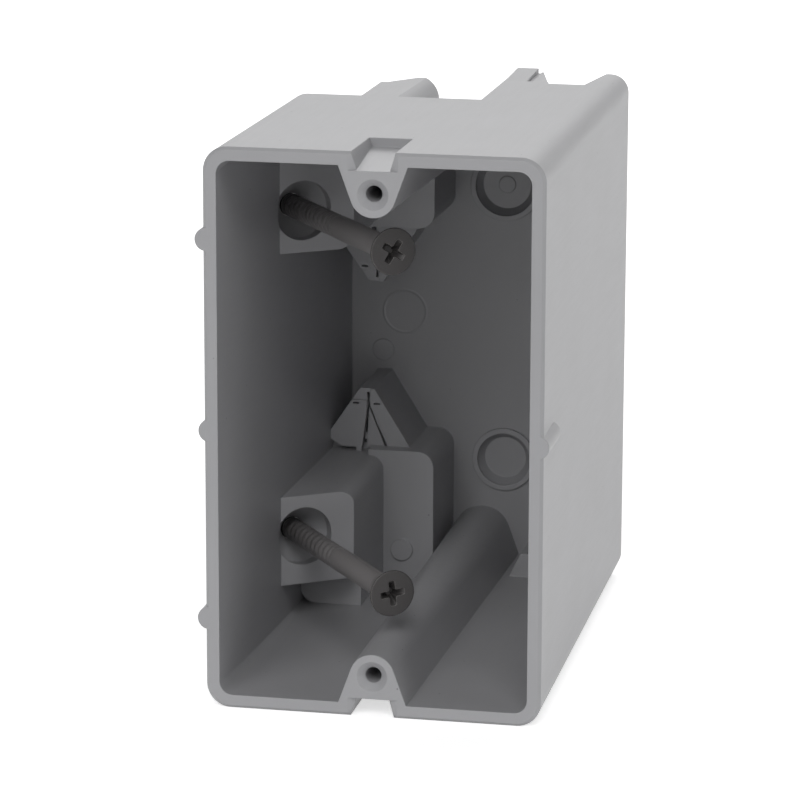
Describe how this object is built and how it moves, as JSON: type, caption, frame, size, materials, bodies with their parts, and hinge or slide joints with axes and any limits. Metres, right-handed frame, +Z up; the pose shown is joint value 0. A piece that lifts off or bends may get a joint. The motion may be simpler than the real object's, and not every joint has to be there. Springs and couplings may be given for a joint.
{
  "type": "switch box",
  "caption": "Moulded single-gang device box with angled mounting screws held inside, cable clamps at the back and open cable bays at its rear left corners.",
  "frame": {"origin": "midway between the two device screw holes, on the front rim's face", "axes": "+X right, +Y into the wall, +Z up, as the box is fixed in the wall"},
  "size_m": [0.0606, 0.0985, 0.0976],
  "materials": {
    "box_moulding": "moulded PVC, satin grey",
    "screw_steel": "black phosphate on steel"
  },
  "bodies": {
    "box": {"box_body": "box_moulding"},
    "upper_screw": {"upper_mounting_screw": "screw_steel"},
    "lower_screw": {"lower_mounting_screw": "screw_steel"}
  },
  "joints": [
    {"name": "upper_screw_drive", "type": "slide", "parent": "box", "child": "upper_screw", "axis": [-0.5736, 0.8192, 0], "range_m": [0, 0.0437]},
    {"name": "lower_screw_drive", "type": "slide", "parent": "box", "child": "lower_screw", "axis": [-0.5736, 0.8192, 0], "range_m": [0, 0.0437]}
  ]
}
